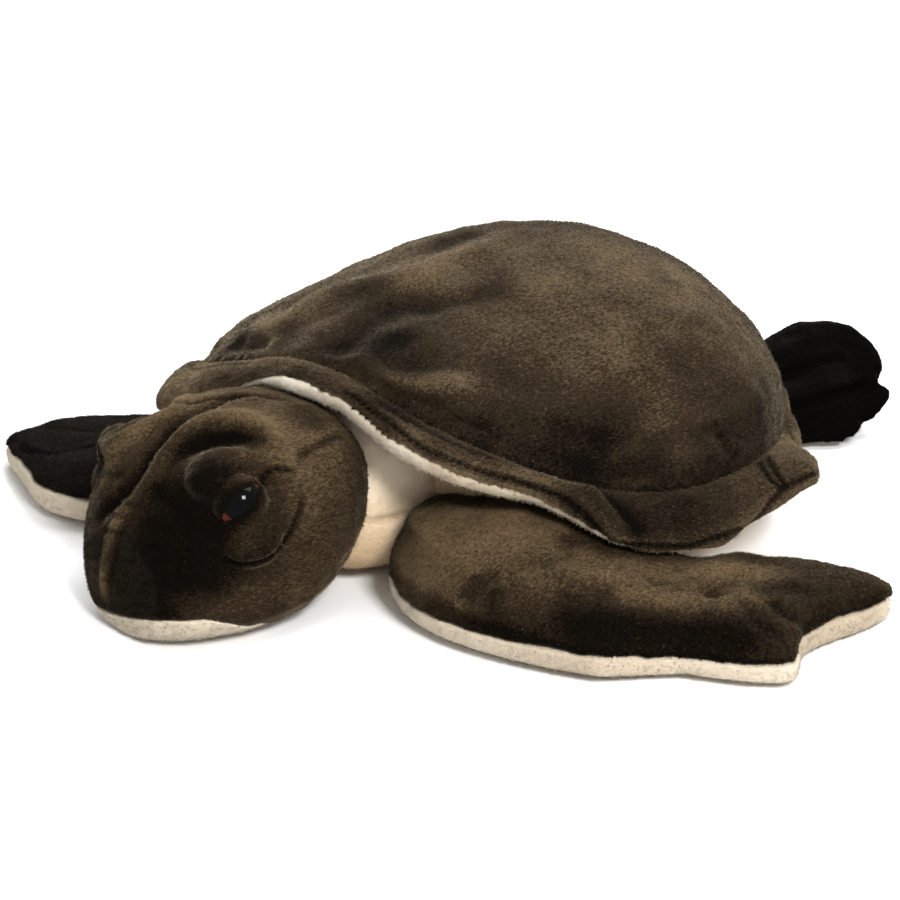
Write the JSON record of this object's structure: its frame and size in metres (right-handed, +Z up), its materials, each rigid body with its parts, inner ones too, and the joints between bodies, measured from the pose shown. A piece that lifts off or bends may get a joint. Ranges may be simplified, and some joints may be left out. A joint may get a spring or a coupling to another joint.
{
  "type": "stuffed toy sea turtle",
  "caption": "Plush sea turtle lying on its belly, dark pile shell with a padded rim, cream underside, plastic eyes and spread flippers.",
  "frame": {"origin": "on the floor under the middle of the shell, on the flat underside of the belly", "axes": "+Z up, -Y towards the snout, +X towards the toy's own left"},
  "size_m": [0.4455, 0.4577, 0.1311],
  "materials": {
    "dark_plush": "short olive brown pile, darker face on and lighter at a slant",
    "cream_plush": "short cream pile",
    "eye_plastic": "glossy, black pupil in a red brown iris"
  },
  "bodies": {
    "root": {"shell_dome": "dark_plush", "shell_rim": "dark_plush", "shell_rim_lining": "cream_plush", "belly": "cream_plush", "neck": "cream_plush", "head": "dark_plush", "chin": "cream_plush", "eye_left": "eye_plastic", "eye_right": "eye_plastic", "flipper_front_left": "dark_plush", "flipper_front_left_under": "cream_plush", "flipper_front_right": "dark_plush", "flipper_front_right_under": "cream_plush", "flipper_rear_left": "dark_plush", "flipper_rear_left_under": "cream_plush", "flipper_rear_right": "dark_plush", "flipper_rear_right_under": "cream_plush", "tail": "dark_plush"}
  },
  "joints": []
}
